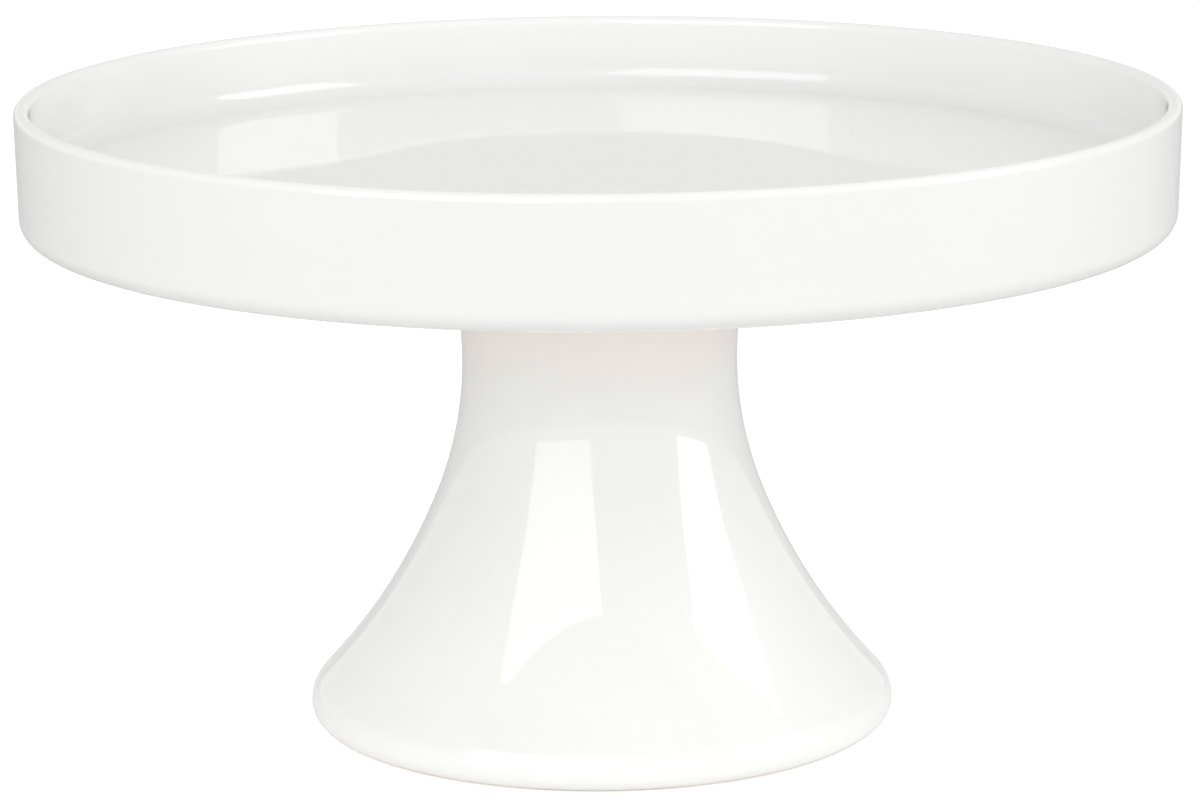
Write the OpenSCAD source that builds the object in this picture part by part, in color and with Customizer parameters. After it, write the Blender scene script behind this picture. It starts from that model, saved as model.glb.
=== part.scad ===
// Footed cake stand in glazed porcelain: a tray plate bolted to a hollow trumpet-shaped pedestal.
// Millimetres, +Z up. The origin is the centre of the foot, on the table.

/* [Plate] */
// Height of the whole stand, from the table to the plate's rim
stand_h = 154; // [145:1:165]
// Outside diameter of the plate at its rim
plate_d = 280; // [250:1:300]
// Thickness of the plate's upright wall
wall_t = 3.6; // [3:0.2:4.4]
// Height of the plate's outer wall, from its lower edge to the rim
wall_h = 30.5; // [28:0.5:34]
// Depth of the tray, from the rim down to its floor
tray_depth = 18.5; // [16:0.5:20]
// Thickness of the tray's floor
floor_t = 6.5; // [5.5:0.5:7.5]

/* [Pedestal] */
// Outside diameter of the pedestal at its waist, where it is narrowest
waist_d = 67.2; // [60:0.4:76]
// Height of the waist above the table
waist_h = 89.5; // [86:0.5:93]
// Thickness of the pedestal's wall
pedestal_t = 5.5; // [4.5:0.5:6.5]
// Radius of the hollow curve through the waist, seen from the side
waist_curve = 90; // [80:1:110]
// Radius of the slacker hollow curve below it, down to the base
skirt_curve = 150; // [130:1:170]
// Slope from upright where the waist's curve hands over to the slacker one, in degrees
waist_slope = 22; // [18:1:24]
// Slope from upright where the slacker curve ends above the base, in degrees
base_slope = 41.5; // [39:0.5:43]
// Radius of the bulge that rounds the base over
base_round = 8; // [6:0.5:9]
// Height of the base's widest line above the table
base_wide_h = 3.9; // [3:0.1:4.5]
// Width of the thickened foot, from its outside to its inside
foot_w = 8.5; // [8:0.5:11]

/* [Joint] */
// Thickness of the gasket between the plate and the pedestal
gasket_t = 1.5; // [1:0.25:2]
// Thickness of the deck that closes the pedestal's top
deck_t = 7; // [6:0.5:8]
// Length of the bolt under its head
bolt_l = 25; // [25:1:30]

/* [Hidden] */
$fn = 96;
arc_error = 0.015;

porcelain = "#f4f3f0";
steel = "#b9bcc0";

// Plate: heights from the rim down, then the radii of its wall and of the boss underneath
wall_z = stand_h - wall_h;
floor_z = stand_h - tray_depth;
under_z = floor_z - floor_t;
plate_r = plate_d / 2;
lip_r = wall_t / 2;
draft = 0.5;
wall_foot_r = plate_r - draft;
wall_edge = 4.2;
tray_r = plate_r - wall_t - draft;
tray_cove = 5;
hem_in_r = wall_foot_r - 6.1;
hem_edge = 1.8;
hem_cove = 3.5;
boss_r = 41;
boss_z = under_z - 3;
boss_edge = 1;
boss_root = 2;
spigot_r = 30;
spigot_edge = 1;
spigot_z = boss_z - 3.8;
socket_r = 9.5;
socket_key_r = 11;

// Pedestal: centres of its two hollow curves, both outside it
waist_centre = [waist_d / 2 + waist_curve, waist_h];
skirt_centre = waist_centre + (skirt_curve - waist_curve) * direction(waist_slope);

// Below the slacker curve the side runs straight to the bulge, just far enough to meet the table
slope_top = skirt_centre - skirt_curve * direction(base_slope);
slope_h = slope_top[1] - base_round * sin(base_slope) - base_wide_h;
base_r = slope_top[0] + slope_h * tan(base_slope) + base_round * (1 - cos(base_slope));
foot_in_r = base_r - foot_w;
foot_edge = 1.5;

// The crown at the pedestal's top, then the deck that the bolt passes through
crown_z = boss_z - gasket_t;
crown_edge = 1.5;
crown_r = waist_outside(crown_z - crown_edge);
recess_r = spigot_r + 0.5;
recess_depth = 3.5;
deck_z = crown_z - recess_depth;
deck_under_z = deck_z - deck_t;
deck_cove = 3;
bolt_hole_r = 6;

// M8 bolt, washers and wing nut
thread_r = 4;
thread_play = 0.05;
head_af = 13;
head_h = 5.3;
head_z = spigot_z + 0.8;
washer_r = 12;
rubber_t = 2;
steel_t = 2;
rubber_z = deck_under_z - rubber_t;
steel_z = rubber_z - steel_t;
nut_seat_r = 8.2;
nut_end_r = 6.5;
nut_h = 8;
wing_tip_r = 6;
wing_reach = 13.4;
wing_drop = 13.5;
wing_t = 3;

function direction(angle) = [cos(angle), sin(angle)];

// Radius of the pedestal's outside or inside at a height on the waist's curve, and the curve's
// slope there, where depth is how far into the wall
function waist_outside(z) = waist_centre[0] - waist_curve * cos(flare(z, 0));
function waist_inside(z) = waist_centre[0] - (waist_curve + pedestal_t) * cos(flare(z, pedestal_t));
function flare(z, depth) = asin((z - waist_h) / (waist_curve + depth));

// Points along an arc, from one direction to another as seen from its centre, close enough
// together that the straight sides between them stay within arc_error of the true curve
function arc(centre, r, from, to) =
    let (steps = ceil(abs(to - from) / (2 * acos(1 - arc_error / r))))
    [for (i = [0 : steps]) centre + r * direction(from + (to - from) * i / steps)];

// Tray with an upright rim, a hem that hangs below the floor, and a boss with a spigot underneath
module plate() {
    color(porcelain) difference() {
        rotate_extrude() polygon(concat(
            [[0, spigot_z]],
            arc([spigot_r - spigot_edge, spigot_z + spigot_edge], spigot_edge, -90, 0),
            [[spigot_r, boss_z]],
            arc([boss_r - boss_edge, boss_z + boss_edge], boss_edge, -90, 0),
            arc([boss_r + boss_root, under_z - boss_root], boss_root, 180, 90),
            arc([hem_in_r - hem_cove, under_z - hem_cove], hem_cove, 90, 0),
            arc([hem_in_r + hem_edge, wall_z + hem_edge], hem_edge, -180, -90),
            arc([wall_foot_r - wall_edge, wall_z + wall_edge], wall_edge, -90, 0),
            arc([plate_r - lip_r, stand_h - lip_r], lip_r, 0, 180),
            arc([tray_r - tray_cove, floor_z + tray_cove], tray_cove, 0, -90),
            [[0, floor_z]]
        ));
        bolt_socket(0.01);
    }
}

// Blind socket in the boss, wider inside than at its mouth so that the cement can't pull out
module bolt_socket(past) {
    translate([0, 0, spigot_z - past]) cylinder(h = under_z - spigot_z + past, r = socket_r);
    translate([0, 0, spigot_z + 2]) cylinder(h = 3, r = socket_key_r);
}

// Hexagon-headed bolt, head up in the plate, with its thread drawn as a plain cylinder
module plate_bolt() {
    point = 1;
    tip_z = head_z - bolt_l;
    color(steel) {
        translate([0, 0, head_z]) intersection() {
            cylinder(h = head_h, r = head_af / 2 / cos(30), $fn = 6);
            cylinder(h = head_h, r1 = head_af / 2 + 4, r2 = head_af / 2);
        }
        translate([0, 0, tip_z + point]) cylinder(h = bolt_l - point + 0.5, r = thread_r);
        translate([0, 0, tip_z]) cylinder(h = point, r1 = thread_r - point, r2 = thread_r);
    }
}

// Cement that fills the socket round the bolt's head
module bolt_cement() {
    color("#d8d4c8") difference() {
        bolt_socket(0);
        plate_bolt();
    }
}

// Flat silicone ring that keeps the two glazed pieces apart
module joint_gasket() {
    color("#e9e7e1") translate([0, 0, crown_z]) difference() {
        cylinder(h = gasket_t, r = crown_r - crown_edge);
        translate([0, 0, -1]) cylinder(h = gasket_t + 2, r = recess_r + 0.7);
    }
}

// Hollow trumpet, open underneath, with a recessed deck at its top for the plate's spigot
module pedestal() {
    color(porcelain) difference() {
        rotate_extrude() pedestal_outside();
        rotate_extrude() pedestal_inside();
        translate([0, 0, deck_z]) cylinder(h = crown_z - deck_z + 1, r = recess_r);
        translate([0, 0, deck_under_z - 1]) cylinder(h = deck_t + 2, r = bolt_hole_r);
    }
}

module pedestal_outside() {
    polygon(concat(
        [[0, 0]],
        arc([base_r - base_wide_h, base_wide_h], base_wide_h, -90, 0),
        arc([base_r - base_round, base_wide_h], base_round, 0, base_slope),
        arc(skirt_centre, skirt_curve, 180 + base_slope, 180 + waist_slope),
        arc(waist_centre, waist_curve, 180 + waist_slope, 180 - flare(crown_z - crown_edge, 0)),
        arc([crown_r - crown_edge, crown_z - crown_edge], crown_edge, 0, 90),
        [[0, crown_z]]
    ));
}

module pedestal_inside() {
    slope_end = skirt_centre - (skirt_curve + pedestal_t) * direction(base_slope);
    roof_z = deck_under_z - deck_cove;
    roof_r = waist_inside(roof_z);
    polygon(concat(
        [[0, -1], [foot_in_r + foot_edge, -1]],
        arc([foot_in_r + foot_edge, foot_edge], foot_edge, -90, -180),
        [[foot_in_r, slope_end[1] - (foot_in_r - slope_end[0]) / tan(base_slope)]],
        arc(skirt_centre, skirt_curve + pedestal_t, 180 + base_slope, 180 + waist_slope),
        arc(waist_centre, waist_curve + pedestal_t, 180 + waist_slope, 180 - flare(roof_z, pedestal_t)),
        arc([roof_r - deck_cove, roof_z], deck_cove, 0, 90),
        [[0, deck_under_z]]
    ));
}

module washer(z, t, hole_r) {
    translate([0, 0, z]) difference() {
        cylinder(h = t, r = washer_r);
        translate([0, 0, -1]) cylinder(h = t + 2, r = hole_r);
    }
}

// Soft washer that bears on the glaze under the deck
module rubber_washer() {
    color("#2b2b2b") washer(rubber_z, rubber_t, thread_r + 0.3);
}

// Wide steel washer that spreads the nut's load
module steel_washer() {
    color(steel) washer(steel_z, steel_t, thread_r + 0.4);
}

// Wing nut for fingers, tapering down from its seat under the steel washer
module wing_nut() {
    color(steel) translate([0, 0, steel_z]) difference() {
        union() {
            translate([0, 0, -nut_h]) cylinder(h = nut_h, r1 = nut_end_r, r2 = nut_seat_r);
            for (side = [0, 180]) rotate([90, 0, side]) translate([0, 0, -wing_t / 2])
                linear_extrude(wing_t) wing();
        }
        translate([0, 0, -nut_h - 1]) cylinder(h = nut_h + 2, r = thread_r + thread_play);
    }
}

// One wing, seen from the front: a round tip, and a web between its two tangents from the barrel
module wing() {
    tip = [wing_reach, -wing_drop];
    top = [nut_end_r - 1, -1.2];
    bottom = [nut_end_r - 1, -nut_h];
    translate(tip) circle(wing_tip_r);
    polygon([bottom, tangent(bottom, tip, -1), tip, tangent(top, tip, 1), top]);
}

// Where the line from a point touches the wing's round tip, on one side or the other
function tangent(from, tip, side) =
    let (away = from - tip, spread = acos(wing_tip_r / norm(away)))
    tip + wing_tip_r * direction(atan2(away[1], away[0]) - side * spread);

plate();
plate_bolt();
bolt_cement();
joint_gasket();
pedestal();
rubber_washer();
steel_washer();
wing_nut();
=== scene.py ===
import math

import bpy
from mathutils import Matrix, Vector


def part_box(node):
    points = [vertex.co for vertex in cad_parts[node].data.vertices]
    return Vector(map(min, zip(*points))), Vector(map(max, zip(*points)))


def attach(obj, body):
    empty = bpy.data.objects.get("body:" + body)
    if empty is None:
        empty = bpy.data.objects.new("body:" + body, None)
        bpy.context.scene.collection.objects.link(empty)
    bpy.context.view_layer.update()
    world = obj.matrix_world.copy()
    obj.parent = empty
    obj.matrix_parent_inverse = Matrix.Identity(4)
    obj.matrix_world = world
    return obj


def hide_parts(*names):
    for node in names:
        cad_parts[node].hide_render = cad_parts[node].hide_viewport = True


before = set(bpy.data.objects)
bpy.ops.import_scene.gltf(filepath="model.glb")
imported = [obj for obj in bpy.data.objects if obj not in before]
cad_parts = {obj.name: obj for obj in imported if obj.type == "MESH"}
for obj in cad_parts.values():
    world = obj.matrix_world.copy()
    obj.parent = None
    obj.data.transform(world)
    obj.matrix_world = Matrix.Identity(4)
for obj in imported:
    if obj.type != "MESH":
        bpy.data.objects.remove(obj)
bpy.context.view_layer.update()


# ---------------------------------------------------------------------------------------------
# Plate: a round tray of white porcelain, pressed in a mould on a wheel and glazed all over except
# the face that it stood on in the kiln. A spigot and a boss underneath carry the cemented bolt.

MM = 0.001
plate_low, plate_high = (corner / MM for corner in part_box("plate"))
plate_r, rim_z, spigot_z = plate_high.x, plate_high.z, plate_low.z
wall_t, draft = 3.6, 0.5
wall_z = rim_z - 30.5
floor_z = rim_z - 18.5
under_z = floor_z - 6.5
boss_z = under_z - 3
spigot_r, boss_r = 30, 41
hem_in_r = plate_r - draft - 6.1
hem_edge_r, hem_cove_r = 1.8, 3.5
wall_edge_r = 4.2
tray_r, tray_cove_r = plate_r - wall_t - draft, 5
socket_r, key_r = 9.5, 11
key_low_z, key_high_z = spigot_z + 2, spigot_z + 5
sag, sag_r = 1.0, 60


def arc(centre_r, centre_z, radius, start, end, steps):
    """Points (radius, height) along an arc, from one direction to another, in degrees"""
    turns = [math.radians(start + (end - start) * i / steps) for i in range(steps + 1)]
    return [(centre_r + radius * math.cos(t), centre_z + radius * math.sin(t)) for t in turns]


def hold_straights(outline, near=0.6, longest=3.0):
    """Adds a point close to each end of every long straight side, to keep its shading flat"""
    held = [outline[0]]
    for start, end in zip(outline, outline[1:]):
        a, b = Vector(start), Vector(end)
        side = b - a
        if side.length > longest:
            held += [tuple(a + side.normalized() * near), tuple(b - side.normalized() * near)]
        held.append(end)
    return held


def draw_outline(name, points):
    """Pushes one vertex from point to point in the plane y = 0, and leaves the edges selected"""
    bpy.ops.object.select_all(action="DESELECT")
    bpy.ops.mesh.primitive_plane_add(size=MM, location=(0, 0, 0))
    piece = bpy.context.object
    piece.name = name
    bpy.ops.object.mode_set(mode="EDIT")
    bpy.ops.mesh.merge(type="CENTER")
    bpy.ops.transform.translate(value=(points[0][0] * MM, 0, points[0][1] * MM))
    for here, there in zip(points, points[1:]):
        push = ((there[0] - here[0]) * MM, 0, (there[1] - here[1]) * MM)
        bpy.ops.mesh.extrude_region_move(TRANSFORM_OT_translate={"value": push})
    bpy.ops.mesh.select_all(action="SELECT")
    return piece


def turn(name, outline, segments):
    """A solid turned from an outline that runs from axis to axis, or back to where it began"""
    piece = draw_outline(name, hold_straights(outline))
    bpy.ops.mesh.spin(steps=segments, angle=math.tau, center=(0, 0, 0), axis=(0, 0, 1))
    bpy.ops.mesh.select_all(action="SELECT")
    bpy.ops.mesh.remove_doubles(threshold=0.002 * MM)
    bpy.ops.mesh.normals_make_consistent(inside=False)
    bpy.ops.object.mode_set(mode="OBJECT")
    bpy.ops.object.shade_smooth()
    return piece


# The floor sank a little in the kiln inside a ring, where nothing held it up, and rolls over there
flat_floor = [(r, floor_z) for r in (126, 112, 98, 84, 72)]
roll_over = [(sag_r + out, floor_z - drop) for out, drop in ((6, 0.01), (3.5, 0.03), (1.5, 0.07))]
dish = [
    (r, floor_z - sag * (1.06 - (r / sag_r) ** 2))
    for r in (sag_r - 1.2, 55, 50, 44, 37, 30, 22, 12, 0)
]
plate = turn(
    "plate_porcelain",
    [(0, under_z), (socket_r, under_z), (socket_r, key_high_z), (key_r, key_high_z)]
    + [(key_r, key_low_z), (socket_r, key_low_z)]
    + arc(socket_r + 0.4, spigot_z + 0.4, 0.4, 180, 270, 3)
    + arc(spigot_r - 1, spigot_z + 1, 1, -90, 0, 5)
    + arc(spigot_r + 0.5, boss_z - 0.5, 0.5, 180, 90, 3)
    + arc(boss_r - 1, boss_z + 1, 1, -90, 0, 5)
    + arc(boss_r + 2, under_z - 2, 2, 180, 90, 6)
    + arc(hem_in_r - hem_cove_r, under_z - hem_cove_r, hem_cove_r, 90, 0, 8)
    + arc(hem_in_r + hem_edge_r, wall_z + hem_edge_r, hem_edge_r, 180, 270, 7)
    + arc(plate_r - draft - wall_edge_r, wall_z + wall_edge_r, wall_edge_r, -90, 0, 10)
    + arc(plate_r - wall_t / 2, rim_z - wall_t / 2, wall_t / 2, 0, 180, 16)
    + arc(tray_r - tray_cove_r, floor_z + tray_cove_r, tray_cove_r, 0, -90, 12)
    + flat_floor + roll_over + dish,
    segments=224,
)


def node(tree, kind, inputs=None, **settings):
    """Adds a shader node, with its settings, and links or sets the inputs that are given"""
    added = tree.nodes.new(kind if kind.startswith("NodeGroup") else "ShaderNode" + kind)
    for key, value in settings.items():
        setattr(added, key, value)
    for key, value in (inputs or {}).items():
        if isinstance(value, bpy.types.NodeSocket):
            tree.links.new(value, added.inputs[key])
        else:
            added.inputs[key].default_value = value
    return added


def calculate(tree, operation, first, second=0.0, third=0.0, clamp=False):
    """One Math node's result"""
    added = node(
        tree, "Math", {0: first, 1: second, 2: third}, operation=operation, use_clamp=clamp
    )
    return added.outputs[0]


def mask_between(tree, value, low, high):
    """0 below low and 1 above high, or the other way round, with a smooth step between"""
    added = node(
        tree, "MapRange", {"Value": value, "From Min": low, "From Max": high},
        interpolation_type="SMOOTHSTEP",
    )
    return added.outputs["Result"]


def mix_colours(tree, share, first, second, blend="MIX"):
    """One colour laid over another by a share from 0 to 1"""
    added = node(
        tree, "Mix", {0: share, 6: first, 7: second}, data_type="RGBA", blend_type=blend
    )
    return added.outputs[2]


def new_group(name, inputs, outputs):
    """An empty shader group, with sockets given as name: (type, default)"""
    group = bpy.data.node_groups.new(name, "ShaderNodeTree")
    for side, sockets in (("INPUT", inputs), ("OUTPUT", outputs)):
        for label, (kind, value) in sockets.items():
            socket = group.interface.new_socket(
                label, in_out=side, socket_type="NodeSocket" + kind
            )
            if value is not None:
                socket.default_value = value
    return group


# Glazed porcelain: broad clouds in the white, iron specks a few tenths of a millimetre wide, the
# slight swell of a glaze that flowed, and, where the glaze was wiped away, grainy bare biscuit.
white_shades = (0.842, 0.840, 0.820, 1), (0.872, 0.869, 0.848, 1)
warm_shades = (0.874, 0.870, 0.838, 1), (0.902, 0.898, 0.865, 1)
bare_shades = (0.60, 0.545, 0.47, 1), (0.72, 0.665, 0.585, 1)
mottle_shade, pool_shade = (0.80, 0.80, 0.79, 1), (0.81, 0.81, 0.79, 1)
# The first colour on the next line is painted shade, a warm tint for the shadow under the plate.
painted_neck_shade, speck_shade = (0.925, 0.845, 0.805, 1), (0.42, 0.34, 0.26, 1)
swell_depth, peel_depth, biscuit_depth = 0.03 * MM, 0.0007 * MM, 0.06 * MM
glazed_clay = new_group(
    "glazed_clay",
    {"Bare": ("Float", 0.0), "Pool": ("Float", 0.0), "Painted Shade": ("Float", 0.0),
     "Warm": ("Float", 0.0)},
    {"Colour": ("Color", None), "Roughness": ("Float", None), "Glaze": ("Float", None),
     "Height": ("Float", None)},
)
tree = glazed_clay
given = tree.nodes.new("NodeGroupInput")
place = node(tree, "TexCoord").outputs["Object"]
clouds = node(tree, "TexNoise", {"Vector": place, "Scale": 14, "Detail": 3}).outputs["Fac"]
mottle = node(tree, "TexNoise", {"Vector": place, "Scale": 260, "Detail": 2}).outputs["Fac"]
white = mix_colours(tree, clouds, *white_shades)
warm = mix_colours(tree, clouds, *warm_shades)
white = mix_colours(tree, given.outputs["Warm"], white, warm)
white = mix_colours(tree, calculate(tree, "MULTIPLY", mottle, 0.12), white, mottle_shade)
pooled = calculate(tree, "MULTIPLY", given.outputs["Pool"], 0.35)
white = mix_colours(tree, pooled, white, pool_shade)
# Painted shade: the warm shadow tint, laid over the white where the input asks for it
white = mix_colours(tree, given.outputs["Painted Shade"], white, painted_neck_shade)
cells = node(tree, "TexVoronoi", {"Vector": place, "Scale": 38, "Randomness": 1})
speck_size = node(tree, "SeparateColor", {"Color": cells.outputs["Color"]}).outputs["Red"]
speck_size = calculate(tree, "MULTIPLY", mask_between(tree, speck_size, 0.72, 1.0), 0.0085)
speck = calculate(tree, "LESS_THAN", cells.outputs["Distance"], speck_size)
white = mix_colours(tree, calculate(tree, "MULTIPLY", speck, 0.55), white, speck_shade)
grain = node(tree, "TexNoise", {"Vector": place, "Scale": 2600, "Detail": 2}).outputs["Fac"]
bare_colour = mix_colours(tree, grain, *bare_shades)
colour = mix_colours(tree, given.outputs["Bare"], white, bare_colour)
swell = node(tree, "TexNoise", {"Vector": place, "Scale": 26, "Detail": 1}).outputs["Fac"]
peel = node(tree, "TexNoise", {"Vector": place, "Scale": 420, "Detail": 1}).outputs["Fac"]
height = calculate(tree, "MULTIPLY", swell, swell_depth)
height = calculate(tree, "MULTIPLY_ADD", peel, peel_depth, height)
rough_grain = calculate(tree, "MULTIPLY", grain, given.outputs["Bare"])
height = calculate(tree, "MULTIPLY_ADD", rough_grain, biscuit_depth, height)
roughness = calculate(tree, "MULTIPLY_ADD", mottle, 0.08, 0.30)
roughness = calculate(tree, "MULTIPLY_ADD", given.outputs["Bare"], 0.45, roughness)
glaze = calculate(tree, "SUBTRACT", 1.0, given.outputs["Bare"], clamp=True)
node(tree, "NodeGroupOutput", {
    "Colour": colour, "Roughness": roughness, "Glaze": glaze, "Height": height,
})


def new_material(name):
    """A material with nothing in it yet, and its tree"""
    material = bpy.data.materials.new(name)
    material.use_nodes = True
    material.node_tree.nodes.clear()
    return material, material.node_tree


def finish_material(tree, bump_height, **inputs):
    """A Principled shader with a true-height bump, on the material's output"""
    bump = node(tree, "Bump", {"Height": bump_height, "Distance": 1.0, "Strength": 1.0})
    sockets = {label.replace("_", " "): value for label, value in inputs.items()}
    shader = node(tree, "BsdfPrincipled", sockets)
    tree.links.new(bump.outputs["Normal"], shader.inputs["Normal"])
    node(tree, "OutputMaterial", {"Surface": shader.outputs["BSDF"]})
    return shader, bump


def radius_and_height(tree):
    """Distance from the stand's axis and height above the table, at each point of a piece"""
    at = node(tree, "SeparateXYZ", {"Vector": node(tree, "TexCoord").outputs["Object"]})
    squares = [calculate(tree, "MULTIPLY", at.outputs[axis], at.outputs[axis]) for axis in "XY"]
    return calculate(tree, "SQRT", calculate(tree, "ADD", *squares)), at.outputs["Z"]


def glazed_material(name, bare, pool, painted_shade=None, warm=0.0):
    """Glazed porcelain, with functions that mask its bare and pooled places and its painted shade
    """
    material, tree = new_material(name)
    radius, z = radius_and_height(tree)
    clay = node(tree, "Group", node_tree=glazed_clay)
    for label, made in (("Bare", bare(tree, radius, z)), ("Pool", pool(tree, radius, z))):
        tree.links.new(made, clay.inputs[label])
    # Painted shade, where the piece has a function that places it
    if painted_shade:
        tree.links.new(painted_shade(tree, radius, z), clay.inputs["Painted Shade"])
    clay.inputs["Warm"].default_value = warm
    shader, bump = finish_material(
        tree, clay.outputs["Height"],
        Base_Color=clay.outputs["Colour"], Roughness=clay.outputs["Roughness"],
        Coat_Weight=clay.outputs["Glaze"], Coat_Roughness=0.015, Coat_IOR=1.52,
        Specular_IOR_Level=0.15,
    )
    tree.links.new(bump.outputs["Normal"], shader.inputs["Coat Normal"])
    return material


def plate_bare(tree, radius, z):
    """The wiped face under the spigot"""
    low = mask_between(tree, z, (spigot_z + 0.5) * MM, (spigot_z + 0.2) * MM)
    face = mask_between(tree, radius, (spigot_r - 0.4) * MM, (spigot_r - 0.8) * MM)
    return calculate(tree, "MULTIPLY", low, face)


def plate_pool(tree, radius, z):
    """The cove round the tray's floor, where the glaze ran thick"""
    outside = mask_between(tree, radius, (tray_r - 7) * MM, (tray_r - 3) * MM)
    inside = mask_between(tree, radius, (tray_r + 1) * MM, (tray_r - 0.5) * MM)
    above = mask_between(tree, z, (floor_z - 3) * MM, (floor_z - 1) * MM)
    below = mask_between(tree, z, (floor_z + 5) * MM, (floor_z + 1) * MM)
    ring = calculate(tree, "MULTIPLY", outside, inside)
    return calculate(tree, "MULTIPLY", ring, calculate(tree, "MULTIPLY", above, below))


plate.data.materials.append(glazed_material("plate_glaze", plate_bare, plate_pool))
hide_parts("plate")
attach(plate, "plate")


# ---------------------------------------------------------------------------------------------
# Plate bolt: an M8 hexagon-headed bolt, cold-forged, with a rolled thread, plated with zinc. It is
# set in the plate head up, before the cement is poured round it.

bolt_low, bolt_high = (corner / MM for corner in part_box("plate_bolt"))
pitch, thread_root_r, thread_crest_r = 1.25, 3.25, 3.97
thread_crest, thread_root = 0.16, 0.34
thread_steps = 48
shank_r, bolt_point = 4, 1
head_af, head_h = 13, 5.3
head_z = bolt_high.z - head_h


def put_modifier(piece, kind, **settings):
    """Adds one modifier and applies it"""
    bpy.ops.object.select_all(action="DESELECT")
    piece.select_set(True)
    bpy.context.view_layer.objects.active = piece
    added = piece.modifiers.new(kind.lower(), kind)
    for key, value in settings.items():
        setattr(added, key, value)
    bpy.ops.object.modifier_apply(modifier=added.name)


def combine(piece, other, operation):
    """Adds or cuts away a second solid, or keeps their overlap, and removes the second"""
    put_modifier(piece, "BOOLEAN", object=other, operation=operation, solver="EXACT")
    bpy.data.objects.remove(other)
    return piece


def thread(name, low, high, root_r, crest_r, slack):
    """A solid right-handed thread between two heights, its ridges wider by slack on each side"""
    root = thread_root - 2 * slack
    crest = thread_crest + 2 * slack
    slope = (pitch - root - crest) / 2
    start = math.floor(low / pitch) * pitch - pitch + slack
    tooth = [(root_r, start), (root_r, start + root), (crest_r, start + root + slope)]
    tooth += [(crest_r, start + root + slope + crest), (root_r, start + pitch)]
    piece = draw_outline(name, tooth)
    bpy.ops.object.mode_set(mode="OBJECT")
    put_modifier(
        piece, "SCREW", angle=math.tau, screw_offset=pitch * MM, steps=thread_steps,
        render_steps=thread_steps, iterations=math.ceil((high - start) / pitch) + 2,
    )
    bpy.ops.object.mode_set(mode="EDIT")
    bpy.ops.mesh.select_all(action="SELECT")
    bpy.ops.mesh.remove_doubles(threshold=0.005 * MM)
    for end, outer in ((low, False), (high, True)):
        bpy.ops.mesh.select_all(action="SELECT")
        bpy.ops.mesh.bisect(
            plane_co=(0, 0, end * MM), plane_no=(0, 0, 1), use_fill=True,
            clear_inner=not outer, clear_outer=outer, threshold=0.0001 * MM,
        )
    bpy.ops.mesh.select_all(action="SELECT")
    bpy.ops.mesh.normals_make_consistent(inside=False)
    bpy.ops.object.mode_set(mode="OBJECT")
    return piece


def crisp(piece, angle):
    """Smooth shading, broken where two faces meet at more than an angle in degrees"""
    bpy.ops.object.select_all(action="DESELECT")
    piece.select_set(True)
    bpy.context.view_layer.objects.active = piece
    bpy.ops.object.shade_smooth_by_angle(angle=math.radians(angle))


def hexagon_head(name, grow=0.0):
    """The head, with its corners turned off in a cone at the top"""
    bpy.ops.object.select_all(action="DESELECT")
    bpy.ops.mesh.primitive_cylinder_add(
        vertices=6, radius=(head_af / 2 / math.cos(math.pi / 6) + grow) * MM,
        depth=(head_h + 2 * grow) * MM, location=(0, 0, (head_z + head_h / 2) * MM),
        rotation=(0, 0, math.pi / 6),
    )
    head = bpy.context.object
    head.name = name
    bpy.ops.object.transform_apply(location=True, rotation=True, scale=True)
    cone_top = head_z + head_h + grow
    chamfer = turn(
        "chamfer",
        [(0, head_z - 1), (head_af / 2 + 1.6, head_z - 1), (head_af / 2 + 1.6, cone_top - 1.2)]
        + [(head_af / 2 - 0.4 + grow, cone_top), (0, cone_top)],
        segments=96,
    )
    return combine(head, chamfer, "INTERSECT")


bolt = thread("bolt_steel", bolt_low.z, head_z - 0.6, thread_root_r, thread_crest_r, 0)
point = turn(
    "point",
    [(0, bolt_low.z), (shank_r - bolt_point, bolt_low.z), (shank_r, bolt_low.z + bolt_point)]
    + [(shank_r, head_z + 1), (0, head_z + 1)],
    segments=96,
)
combine(bolt, point, "INTERSECT")
neck = turn(
    "neck",
    [(0, head_z - 1.4), (thread_root_r, head_z - 1.4), (3.7, head_z - 0.7), (3.7, head_z + 0.6)]
    + [(0, head_z + 0.6)],
    segments=96,
)
combine(bolt, neck, "UNION")
combine(bolt, hexagon_head("head"), "UNION")
crisp(bolt, 35)

# Zinc plate on steel: a cool silver that varies in patches from bath and drip, a fine spangle and
# satin grain, duller and warmer where it has rubbed, and dented where the iron under it was cast.
silver_shades = (0.56, 0.575, 0.60, 1), (0.70, 0.71, 0.715, 1)
spangle_shade, rubbed_shade = (0.80, 0.82, 0.86, 1), (0.45, 0.435, 0.41, 1)
casting_depth, satin_depth = 0.11 * MM, 0.004 * MM
zinc_plate = new_group(
    "zinc_plate",
    {"Dull": ("Float", 0.0), "Casting": ("Float", 0.0)},
    {"Colour": ("Color", None), "Roughness": ("Float", None), "Height": ("Float", None)},
)
tree = zinc_plate
given = tree.nodes.new("NodeGroupInput")
place = node(tree, "TexCoord").outputs["Object"]
patches = node(tree, "TexNoise", {"Vector": place, "Scale": 180, "Detail": 4}).outputs["Fac"]
spangle = node(tree, "TexVoronoi", {"Vector": place, "Scale": 1500}).outputs["Color"]
spangle = node(tree, "SeparateColor", {"Color": spangle}).outputs["Red"]
grain = node(tree, "TexNoise", {"Vector": place, "Scale": 3800, "Detail": 3}).outputs["Fac"]
silver = mix_colours(tree, mask_between(tree, patches, 0.3, 0.7), *silver_shades)
silver = mix_colours(tree, calculate(tree, "MULTIPLY", spangle, 0.25), silver, spangle_shade)
rubbed = mask_between(tree, calculate(tree, "ADD", patches, given.outputs["Dull"]), 0.55, 0.95)
silver = mix_colours(tree, rubbed, silver, rubbed_shade)
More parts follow.
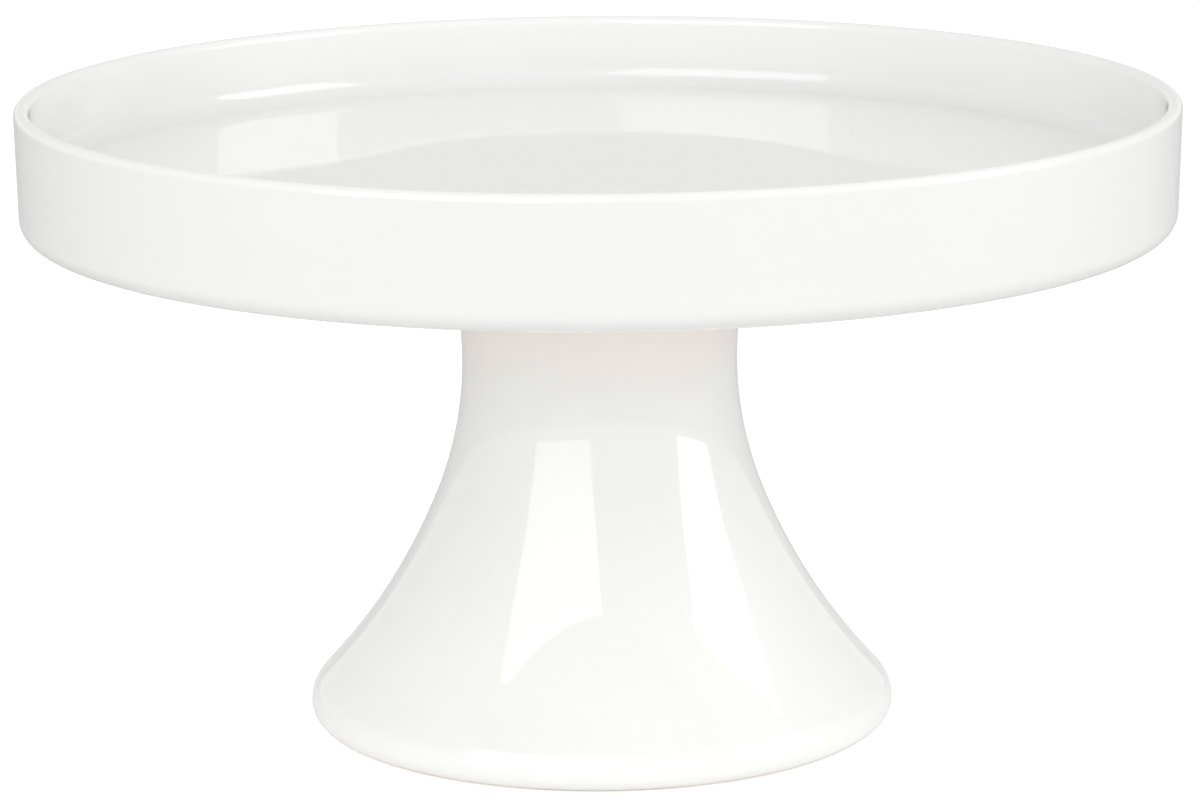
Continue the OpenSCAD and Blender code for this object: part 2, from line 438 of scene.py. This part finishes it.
dents = node(tree, "TexNoise", {"Vector": place, "Scale": 900, "Detail": 2}).outputs["Fac"]
dents = calculate(tree, "MULTIPLY", dents, given.outputs["Casting"])
height = calculate(tree, "MULTIPLY", dents, casting_depth)
height = calculate(tree, "MULTIPLY_ADD", grain, satin_depth, height)
roughness = calculate(tree, "MULTIPLY_ADD", patches, 0.16, 0.22)
roughness = calculate(tree, "MULTIPLY_ADD", spangle, 0.10, roughness)
roughness = calculate(tree, "MULTIPLY_ADD", rubbed, 0.18, roughness)
roughness = calculate(tree, "MULTIPLY_ADD", given.outputs["Casting"], 0.10, roughness)
node(tree, "NodeGroupOutput", {"Colour": silver, "Roughness": roughness, "Height": height})


def zinc_material(name, dull, casting, extra=None):
    """Zinc plate, more or less dulled and cast, and a function that adds a height of its own"""
    material, tree = new_material(name)
    plating = node(tree, "Group", {"Dull": dull, "Casting": casting}, node_tree=zinc_plate)
    height = plating.outputs["Height"]
    if extra:
        height = calculate(tree, "ADD", height, extra(tree))
    finish_material(
        tree, height, Base_Color=plating.outputs["Colour"], Roughness=plating.outputs["Roughness"],
        Metallic=1.0,
    )
    return material


bolt.data.materials.clear()
bolt.data.materials.append(zinc_material("bolt_zinc", 0.10, 0.0))
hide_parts("plate_bolt")
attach(bolt, "plate")


# ---------------------------------------------------------------------------------------------
# Bolt cement: a stiff white setting cement, poured round the head with the plate upside down and
# smoothed with a wet finger, so that its face is dished and rises a little up the bolt.

cement_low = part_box("bolt_cement")[0] / MM
gap, shank_hole_r = 0.03, 3.9
cement = turn(
    "cement_plug",
    [(0, cement_low.z), (4.1, cement_low.z), (4.3, cement_low.z + 0.08)]
    + [(4.8, cement_low.z + 0.24), (5.8, cement_low.z + 0.34), (7.0, cement_low.z + 0.34)]
    + [(8.2, cement_low.z + 0.26), (9.0, cement_low.z + 0.12), (socket_r - gap, cement_low.z)]
    + [(socket_r - gap, key_low_z + gap), (key_r - gap, key_low_z + gap)]
    + [(key_r - gap, key_high_z - gap), (socket_r - gap, key_high_z - gap)]
    + [(socket_r - gap, under_z - gap), (0, under_z - gap)],
    segments=96,
)
shank = turn(
    "shank",
    [(0, cement_low.z - 1), (shank_hole_r, cement_low.z - 1)]
    + [(shank_hole_r, head_z + 1), (0, head_z + 1)],
    segments=96,
)
combine(cement, shank, "DIFFERENCE")
combine(cement, hexagon_head("head_space", grow=gap), "DIFFERENCE")
crisp(cement, 50)

cement_shades, sand_shade = ((0.57, 0.545, 0.48, 1), (0.72, 0.69, 0.62, 1)), (0.33, 0.30, 0.26, 1)
pit_depth, smear_depth, sand_depth = 0.08 * MM, 0.3 * MM, 0.02 * MM
material, tree = new_material("setting_cement")
place = node(tree, "TexCoord").outputs["Object"]
blotch = node(tree, "TexNoise", {"Vector": place, "Scale": 160, "Detail": 4}).outputs["Fac"]
sand = node(tree, "TexVoronoi", {"Vector": place, "Scale": 2600})
sand_tone = node(tree, "SeparateColor", {"Color": sand.outputs["Color"]}).outputs["Green"]
colour = mix_colours(tree, blotch, *cement_shades)
dark_grain = calculate(
    tree, "MULTIPLY", mask_between(tree, sand_tone, 0.82, 0.95),
    mask_between(tree, sand.outputs["Distance"], 0.45, 0.2),
)
colour = mix_colours(tree, calculate(tree, "MULTIPLY", dark_grain, 0.45), colour, sand_shade)
pits = node(tree, "TexVoronoi", {"Vector": place, "Scale": 520}).outputs["Distance"]
pits = mask_between(tree, pits, 0.08, 0.2)
smears = node(tree, "TexNoise", {"Vector": place, "Scale": 320, "Detail": 3}).outputs["Fac"]
height = calculate(tree, "MULTIPLY", pits, pit_depth)
height = calculate(tree, "MULTIPLY_ADD", smears, smear_depth, height)
height = calculate(tree, "MULTIPLY_ADD", sand.outputs["Distance"], sand_depth, height)
roughness = calculate(tree, "MULTIPLY_ADD", sand_tone, 0.15, 0.78)
finish_material(tree, height, Base_Color=colour, Roughness=roughness)
cement.data.materials.clear()
cement.data.materials.append(material)
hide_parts("bolt_cement")
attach(cement, "plate")


# ---------------------------------------------------------------------------------------------
# Joint gasket: a flat ring of white silicone, moulded in two halves, so a fine parting line runs
# round its rim. It lies on the pedestal's crown and keeps glaze from grinding on glaze.

gasket_low, gasket_high = (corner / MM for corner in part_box("joint_gasket"))
gasket_in_r, gasket_r = 31.2, gasket_high.x
gasket_mid = (gasket_low.z + gasket_high.z) / 2
gasket = turn(
    "gasket_silicone",
    [(gasket_in_r + 0.3, gasket_low.z), (gasket_r - 0.45, gasket_low.z)]
    + [(gasket_r - 0.26, gasket_low.z + 0.1), (gasket_r - 0.17, gasket_low.z + 0.35)]
    + [(gasket_r - 0.13, gasket_mid - 0.08), (gasket_r, gasket_mid)]
    + [(gasket_r - 0.13, gasket_mid + 0.08)]
    + [(gasket_r - 0.17, gasket_high.z - 0.35), (gasket_r - 0.26, gasket_high.z - 0.1)]
    + [(gasket_r - 0.45, gasket_high.z), (gasket_in_r + 0.3, gasket_high.z)]
    + [(gasket_in_r + 0.08, gasket_high.z - 0.2), (gasket_in_r, gasket_mid)]
    + [(gasket_in_r + 0.08, gasket_low.z + 0.2), (gasket_in_r + 0.3, gasket_low.z)],
    segments=192,
)
crisp(gasket, 50)

# Moulded rubber: a slightly uneven tone, fine mould texture, and pale dust that clings to it.
mould_depth = 0.012 * MM
moulded_rubber = new_group(
    "moulded_rubber",
    {"Tone": ("Color", (0.8, 0.8, 0.8, 1)), "Dust": ("Float", 0.2),
     "Dust Tone": ("Color", (0.5, 0.5, 0.5, 1))},
    {"Colour": ("Color", None), "Roughness": ("Float", None), "Height": ("Float", None)},
)
tree = moulded_rubber
given = tree.nodes.new("NodeGroupInput")
place = node(tree, "TexCoord").outputs["Object"]
cloud = node(tree, "TexNoise", {"Vector": place, "Scale": 120, "Detail": 3}).outputs["Fac"]
texture = node(tree, "TexNoise", {"Vector": place, "Scale": 2400, "Detail": 2}).outputs["Fac"]
fluff = node(tree, "TexNoise", {"Vector": place, "Scale": 700, "Detail": 5, "Roughness": 0.7})
darker = mix_colours(tree, 1.0, given.outputs["Tone"], (0.86, 0.86, 0.86, 1), blend="MULTIPLY")
tone = mix_colours(tree, cloud, darker, given.outputs["Tone"])
fluff = mask_between(tree, fluff.outputs["Fac"], 0.55, 0.75)
dusty = calculate(tree, "MULTIPLY", fluff, given.outputs["Dust"])
tone = mix_colours(tree, dusty, tone, given.outputs["Dust Tone"])
roughness = calculate(tree, "MULTIPLY_ADD", cloud, 0.12, 0.42)
roughness = calculate(tree, "MULTIPLY_ADD", dusty, 0.5, roughness)
height = calculate(tree, "MULTIPLY", texture, mould_depth)
node(tree, "NodeGroupOutput", {"Colour": tone, "Roughness": roughness, "Height": height})


def rubber_material(name, tone, dust, dust_tone, sheen):
    """Moulded rubber or silicone in one tone"""
    material, tree = new_material(name)
    given_values = {"Tone": tone, "Dust": dust, "Dust Tone": dust_tone}
    rubber = node(tree, "Group", given_values, node_tree=moulded_rubber)
    finish_material(
        tree, rubber.outputs["Height"], Base_Color=rubber.outputs["Colour"],
        Roughness=rubber.outputs["Roughness"], Sheen_Weight=sheen, Sheen_Roughness=0.4,
    )
    return material


gasket.data.materials.clear()
gasket.data.materials.append(
    rubber_material("white_silicone", (0.78, 0.77, 0.73, 1), 0.15, (0.62, 0.60, 0.56, 1), 0.1)
)
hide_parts("joint_gasket")
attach(gasket, "pedestal")


# ---------------------------------------------------------------------------------------------
# Pedestal: a hollow trumpet of the same porcelain, cast in a mould and open underneath. Its foot
# ring was ground flat and left bare, and a recessed deck at the top takes the plate's spigot.

pedestal_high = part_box("pedestal")[1] / MM
crown_z = pedestal_high.z
foot_r = pedestal_high.x
waist_r, waist_z, wall = 33.6, 89.5, 5.5
waist_curve, skirt_curve = 90, 150
waist_slope, base_slope = 22, 41.5
base_round, base_wide_z = 8, 3.9
foot_in_r, foot_edge = foot_r - 8.5, 1.5
recess_r, recess_z = spigot_r + 0.5, crown_z - 3.5
deck_z = recess_z - 7
bolt_hole_r, bolt_hole_edge = 6, 0.6
crown_edge, deck_cove = 1.5, 3
# Heights over which the painted shade under the plate fades in, up towards the neck's top
painted_shade_from_z, painted_shade_to_z = 94, 106

waist_centre = Vector((waist_r + waist_curve, waist_z))
slope = Vector((math.cos(math.radians(waist_slope)), math.sin(math.radians(waist_slope))))
skirt_centre = waist_centre + (skirt_curve - waist_curve) * slope


def flare(z, depth):
    """Slope of the waist's curve from upright at a height, in degrees, for a depth into the wall"""
    return math.degrees(math.asin((z - waist_z) / (waist_curve + depth)))


def trumpet_side(top, depth):
    """The side from the base up to a height: the slack curve, then the waist's"""
    skirt = arc(*skirt_centre, skirt_curve + depth, 180 + base_slope, 180 + waist_slope, 24)
    top_turn = 180 - flare(top, depth)
    return skirt + arc(*waist_centre, waist_curve + depth, 180 + waist_slope, top_turn, 34)[1:]


outside = trumpet_side(crown_z - crown_edge, 0)
inside = trumpet_side(deck_z - deck_cove, wall)
crown_r, roof_r = outside[-1][0], inside[-1][0]
foot_corner_z = inside[0][1] - (foot_in_r - inside[0][0]) / math.tan(math.radians(base_slope))
pedestal = turn(
    "pedestal_porcelain",
    [(bolt_hole_r, deck_z + 3.5)]
    + arc(bolt_hole_r + bolt_hole_edge, deck_z + bolt_hole_edge, bolt_hole_edge, 180, 270, 4)
    + arc(roof_r - deck_cove, deck_z - deck_cove, deck_cove, 90, 0, 8)
    + inside[::-1]
    + arc(foot_in_r - 1.5, foot_corner_z - 1, 1.5, 30, 0, 4)
    + arc(foot_in_r + foot_edge, foot_edge, foot_edge, 180, 270, 7)
    + arc(foot_r - base_wide_z, base_wide_z, base_wide_z, -90, 0, 12)
    + arc(foot_r - base_round, base_wide_z, base_round, 0, base_slope, 10)[1:]
    + outside
    + arc(crown_r - crown_edge, crown_z - crown_edge, crown_edge, 0, 90, 7)
    + arc(recess_r + 0.5, crown_z - 0.5, 0.5, 90, 180, 4)
    + arc(recess_r - 1, recess_z + 1, 1, 0, -90, 5)
    + arc(bolt_hole_r + bolt_hole_edge, recess_z - bolt_hole_edge, bolt_hole_edge, 90, 180, 4)
    + [(bolt_hole_r, deck_z + 3.5)],
    segments=192,
)


def pedestal_bare(tree, radius, z):
    """The ground foot ring, up to a glaze line that wanders by a few tenths of a millimetre"""
    coordinate = node(tree, "TexCoord").outputs["Object"]
    wander = node(tree, "TexNoise", {"Vector": coordinate, "Scale": 60, "Detail": 2}).outputs["Fac"]
    line = calculate(tree, "MULTIPLY_ADD", wander, 0.9 * MM, 0.2 * MM)
    height = calculate(tree, "SUBTRACT", z, line)
    return mask_between(tree, height, 0.08 * MM, -0.08 * MM)


def pedestal_pool(tree, radius, z):
    """The inner corner of the foot, where the glaze ran thick"""
    low = mask_between(tree, z, 14 * MM, 6 * MM)
    return calculate(tree, "MULTIPLY", low, mask_between(tree, radius, 68 * MM, 66 * MM))


def pedestal_painted_shade(tree, radius, z):
    """Painted shade: a warm shadow tint on the neck's outside near its top, under the plate"""
    coordinate = node(tree, "TexCoord").outputs["Object"]
    ragged = node(tree, "TexNoise", {"Vector": coordinate, "Scale": 45, "Detail": 5}).outputs["Fac"]
    height = calculate(tree, "MULTIPLY_ADD", ragged, 18 * MM, z)
    high = mask_between(tree, height, painted_shade_from_z * MM, painted_shade_to_z * MM)
    high = calculate(tree, "MULTIPLY", high, 0.9)
    return calculate(tree, "MULTIPLY", high, mask_between(tree, radius, 31 * MM, 32.5 * MM))


# The pedestal's glaze, with painted shade at the top of its neck
pedestal.data.materials.append(
    glazed_material("pedestal_glaze", pedestal_bare, pedestal_pool, pedestal_painted_shade, warm=1.0)
)
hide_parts("pedestal")
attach(pedestal, "pedestal")


# ---------------------------------------------------------------------------------------------
# Rubber washer: punched from black sheet rubber, with cut sides that bulge a little under load.
# It lies between the deck's glaze and the steel.

rubber_low, rubber_high = (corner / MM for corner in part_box("rubber_washer"))
washer_r, rubber_hole_r, bulge = rubber_high.x, 4.36, 0.06
rubber_washer = turn(
    "washer_rubber",
    [(rubber_hole_r, rubber_low.z), (washer_r - 0.3, rubber_low.z)]
    + [(washer_r - 0.08, rubber_low.z + 0.35), (washer_r, rubber_low.z + 1)]
    + [(washer_r - 0.08, rubber_high.z - 0.35), (washer_r - 0.3, rubber_high.z)]
    + [(rubber_hole_r, rubber_high.z), (rubber_hole_r - bulge, rubber_low.z + 1)]
    + [(rubber_hole_r, rubber_low.z)],
    segments=128,
)
crisp(rubber_washer, 50)
rubber_washer.data.materials.clear()
rubber_washer.data.materials.append(
    rubber_material("black_rubber", (0.026, 0.026, 0.027, 1), 0.35, (0.22, 0.21, 0.20, 1), 0.05)
)
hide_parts("rubber_washer")
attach(rubber_washer, "washers")


# ---------------------------------------------------------------------------------------------
# Steel washer: punched from sheet, so its upper edge is drawn in round and its lower edge is sharp,
# with a torn band on its rim. Plated with zinc, and ringed where the nut has rubbed it.

steel_low, steel_high = (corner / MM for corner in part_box("steel_washer"))
steel_washer = turn(
    "washer_steel",
    [(4.45, steel_low.z + 0.06), (4.51, steel_low.z), (washer_r - 0.1, steel_low.z)]
    + [(washer_r - 0.02, steel_low.z + 0.08), (washer_r - 0.06, steel_low.z + 0.7)]
    + [(washer_r, steel_low.z + 0.85), (washer_r, steel_high.z - 0.5)]
    + arc(washer_r - 0.5, steel_high.z - 0.5, 0.5, 0, 90, 6)[1:]
    + arc(4.8, steel_high.z - 0.4, 0.4, 90, 180, 5)
    + [(4.4, steel_low.z + 0.7), (4.45, steel_low.z + 0.06)],
    segments=128,
)
crisp(steel_washer, 35)


def rubbed_rings(tree):
    """Height of the fine rings that the nut's seat has turned into the face"""
    radius = radius_and_height(tree)[0]
    spread = node(tree, "CombineXYZ", {"X": radius}).outputs["Vector"]
    rings = node(tree, "TexNoise", {"Vector": spread, "Scale": 7000, "Detail": 2}).outputs["Fac"]
    seat = calculate(
        tree, "MULTIPLY", mask_between(tree, radius, 8.4 * MM, 8.1 * MM),
        mask_between(tree, radius, 4.6 * MM, 4.9 * MM),
    )
    return calculate(tree, "MULTIPLY", calculate(tree, "MULTIPLY", rings, seat), 0.03 * MM)


steel_washer.data.materials.clear()
steel_washer.data.materials.append(zinc_material("washer_zinc", 0.05, 0.0, rubbed_rings))
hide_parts("steel_washer")
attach(steel_washer, "washers")


# ---------------------------------------------------------------------------------------------
# Wing nut: cast in malleable iron, with rounded wings that grow out of a tapered barrel, then faced
# on its seat, tapped for the M8 bolt, and plated with zinc. It is turned by hand from below.

nut_seat_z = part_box("wing_nut")[1].z / MM
nut_h, nut_seat_r, nut_end_r = 8, 8.2, 6.5
nut_end_z = nut_seat_z - nut_h
wing_tip_r, wing_reach, wing_drop, wing_t = 6, 13.4, 13.5, 3
wing_root_r, wing_edge = 2.5, 0.8
cast_grain, face_cut, tap_slack = 0.32, 0.05, 0.08


def touch(start, centre, radius, side):
    """Direction, in degrees, from a circle's centre to where a line from a point touches it"""
    away = Vector(start) - Vector(centre)
    turn_off = math.acos(radius / away.length)
    return math.degrees(math.atan2(away.y, away.x)) - side * math.degrees(turn_off)


wing_tip = (wing_reach, nut_seat_z - wing_drop)
wing_top, wing_bottom = (nut_end_r - 1, nut_seat_z - 1.2), (nut_end_r - 1, nut_end_z)
upper = touch(wing_top, wing_tip, wing_tip_r, 1)
lower = touch(wing_bottom, wing_tip, wing_tip_r, -1)
wing = draw_outline(
    "wing_right",
    [(wing_root_r, nut_end_z), wing_bottom]
    + arc(*wing_tip, wing_tip_r, lower, upper + 360, 30)
    + [wing_top, (wing_root_r, wing_top[1])],
)
bpy.ops.mesh.edge_face_add()
bpy.ops.mesh.extrude_region_move(TRANSFORM_OT_translate={"value": (0, wing_t * MM, 0)})
bpy.ops.mesh.select_all(action="SELECT")
bpy.ops.transform.translate(value=(0, -wing_t / 2 * MM, 0))
bpy.ops.mesh.normals_make_consistent(inside=False)
bpy.ops.mesh.select_all(action="DESELECT")
bpy.ops.mesh.edges_select_sharp(sharpness=math.radians(60))
bpy.ops.mesh.bevel(offset=wing_edge * MM, segments=4, affect="EDGES")
bpy.ops.object.mode_set(mode="OBJECT")
other_wing = wing.copy()
other_wing.data = wing.data.copy()
other_wing.name = "wing_left"
bpy.context.collection.objects.link(other_wing)
bpy.ops.object.select_all(action="DESELECT")
other_wing.select_set(True)
bpy.context.view_layer.objects.active = other_wing
other_wing.rotation_euler.z = math.pi
bpy.ops.object.transform_apply(location=True, rotation=True, scale=True)

wing_nut = turn(
    "nut_steel",
    [(0, nut_end_z), (nut_end_r - 0.8, nut_end_z)]
    + [(nut_end_r - 0.1, nut_end_z + 0.4), (nut_seat_r - 0.05, nut_seat_z - 0.7)]
    + [(nut_seat_r - 0.5, nut_seat_z), (0, nut_seat_z)],
    segments=96,
)
for part in (wing, other_wing, wing_nut):
    part.select_set(True)
bpy.context.view_layer.objects.active = wing_nut
bpy.ops.object.join()
put_modifier(wing_nut, "REMESH", mode="VOXEL", voxel_size=cast_grain * MM, adaptivity=0)
put_modifier(wing_nut, "SMOOTH", factor=0.5, iterations=6)
bpy.ops.object.mode_set(mode="EDIT")
bpy.ops.mesh.select_all(action="SELECT")
bpy.ops.mesh.bisect(
    plane_co=(0, 0, (nut_seat_z - face_cut) * MM), plane_no=(0, 0, 1), use_fill=True,
    clear_outer=True, threshold=0.0001 * MM,
)
bpy.ops.object.mode_set(mode="OBJECT")
tap = thread(
    "tap", nut_end_z - 1, nut_seat_z + 1,
    thread_root_r + tap_slack, thread_crest_r + tap_slack, 0.05,
)
combine(wing_nut, tap, "DIFFERENCE")
for mouth_z, out in ((nut_seat_z - face_cut, 1), (nut_end_z, -1)):
    countersink = turn(
        "countersink",
        [(0, mouth_z - 1.2 * out), (3.1, mouth_z - 1.2 * out), (4.7, mouth_z + 0.4 * out)]
        + [(0, mouth_z + 0.4 * out)],
        segments=64,
    )
    combine(wing_nut, countersink, "DIFFERENCE")
crisp(wing_nut, 35)
wing_nut.data.materials.clear()
wing_nut.data.materials.append(zinc_material("nut_zinc", 0.18, 1.0))
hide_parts("wing_nut")
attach(wing_nut, "nut")


# ---------------------------------------------------------------------------------------------
# Studio: a pale paper floor that glows softly round the stand, an even sky with a brighter wall low
# in front, and two tall softboxes, one in front at the left and one at the right side.

paper_shades, seen_shade = ((0.60, 0.60, 0.60, 1), (0.64, 0.64, 0.64, 1)), (0.96, 0.96, 0.96, 1)
floor_glow, near_glow, seen_glow = 0.06, 0.24, 0.16
near_r, far_r = 0.07, 0.30
sky_glow, wall_glow, skirting_glow = 0.80, 1.02, 0.14
cool_light, cloth_glow = (0.97, 0.985, 1.0), 2.0
look_at = Vector((0, 0, 0.09))

bpy.ops.object.select_all(action="DESELECT")
bpy.ops.mesh.primitive_plane_add(size=12, location=(0, 2, 0))
floor = bpy.context.object
floor.name = "studio_floor"
bpy.ops.object.transform_apply(location=True, rotation=True, scale=True)
material, tree = new_material("pale_floor")
seen = node(tree, "LightPath").outputs["Is Camera Ray"]
place = node(tree, "TexCoord").outputs["Object"]
away = node(tree, "VectorMath", {0: place}, operation="LENGTH").outputs["Value"]
fibres = node(tree, "TexNoise", {"Vector": place, "Scale": 900, "Detail": 3}).outputs["Fac"]
paper = mix_colours(tree, seen, mix_colours(tree, fibres, *paper_shades), seen_shade)
near = mask_between(tree, away, far_r, near_r)
glow = calculate(tree, "MULTIPLY_ADD", near, near_glow, floor_glow)
glow = calculate(tree, "MULTIPLY_ADD", seen, seen_glow, glow)
shader = node(tree, "BsdfPrincipled", {
    "Base Color": paper, "Roughness": 0.9, "Specular IOR Level": 0.1,
    "Emission Color": (1, 1, 1, 1), "Emission Strength": glow,
})
node(tree, "OutputMaterial", {"Surface": shader.outputs["BSDF"]})
floor.data.materials.append(material)

world = bpy.data.worlds.new("studio_air")
world.use_nodes = True
tree = world.node_tree
facing = node(tree, "SeparateXYZ", {"Vector": node(tree, "TexCoord").outputs["Generated"]})
front = node(tree, "MapRange", {"Value": facing.outputs["Y"], "From Min": 0.25, "From Max": -1.0})
low = mask_between(tree, facing.outputs["Z"], 0.36, 0.10)
bright_wall = calculate(tree, "MULTIPLY", front.outputs["Result"], low)
mirrored = node(tree, "LightPath").outputs["Is Glossy Ray"]
dimmed = calculate(tree, "MULTIPLY_ADD", mirrored, -0.6, 1.0)
bright_wall = calculate(tree, "MULTIPLY", bright_wall, dimmed)
skirting = mask_between(tree, facing.outputs["Z"], 0.17, 0.03)
glow = calculate(tree, "MULTIPLY_ADD", bright_wall, wall_glow, sky_glow)
glow = calculate(tree, "MULTIPLY_ADD", skirting, skirting_glow, glow)
tree.links.new(glow, tree.nodes["Background"].inputs["Strength"])
tree.nodes["Background"].inputs["Color"].default_value = (1, 1, 1, 1)
bpy.context.scene.world = world

lit_cloth, tree = new_material("lit_cloth")
cloth_light = node(tree, "Emission", {"Color": (*cool_light, 1), "Strength": cloth_glow})
node(tree, "OutputMaterial", {"Surface": cloth_light.outputs["Emission"]})


def softbox(name, azimuth, elevation, distance, width, height, power):
    """A light facing the stand, to the right of the front in degrees, and its cloth's reflection"""
    a, e = math.radians(azimuth), math.radians(elevation)
    where = Vector((math.sin(a) * math.cos(e), -math.cos(a) * math.cos(e), math.sin(e))) * distance
    data = bpy.data.lights.new(name, "AREA")
    data.shape, data.size, data.size_y = "RECTANGLE", width, height
    data.energy, data.color = power, cool_light
    light = bpy.data.objects.new(name, data)
    bpy.context.scene.collection.objects.link(light)
    light.location = look_at + where
    light.rotation_euler = (-where).to_track_quat("-Z", "Y").to_euler()
    bpy.ops.object.select_all(action="DESELECT")
    behind = light.location * 1.01
    bpy.ops.mesh.primitive_plane_add(size=1, location=behind, rotation=light.rotation_euler)
    face = bpy.context.object
    face.name = name + "_face"
    face.scale = (width, height, 1)
    face.visible_camera = face.visible_diffuse = face.visible_shadow = False
    face.data.materials.append(lit_cloth)


softbox("softbox_left", -29.5, 27, 1.6, 1.36, 1.42, 6.1)
softbox("softbox_right", 77.5, 20.6, 1.5, 0.84, 1.08, 5.2)

lens, camera_place, down_tilt, roll = 135.5, (0, -1.079, 0.320), 12.67, -0.4
camera_data = bpy.data.cameras.new("camera")
camera_data.lens, camera_data.sensor_width = lens, 36
camera_data.clip_start, camera_data.clip_end = 0.05, 50
camera = bpy.data.objects.new("camera", camera_data)
bpy.context.scene.collection.objects.link(camera)
camera.location = camera_place
camera.rotation_mode = "ZXY"
camera.rotation_euler = (math.radians(90 - down_tilt), 0, math.radians(roll))
bpy.context.scene.camera = camera
bpy.context.scene.view_settings.view_transform = "Standard"
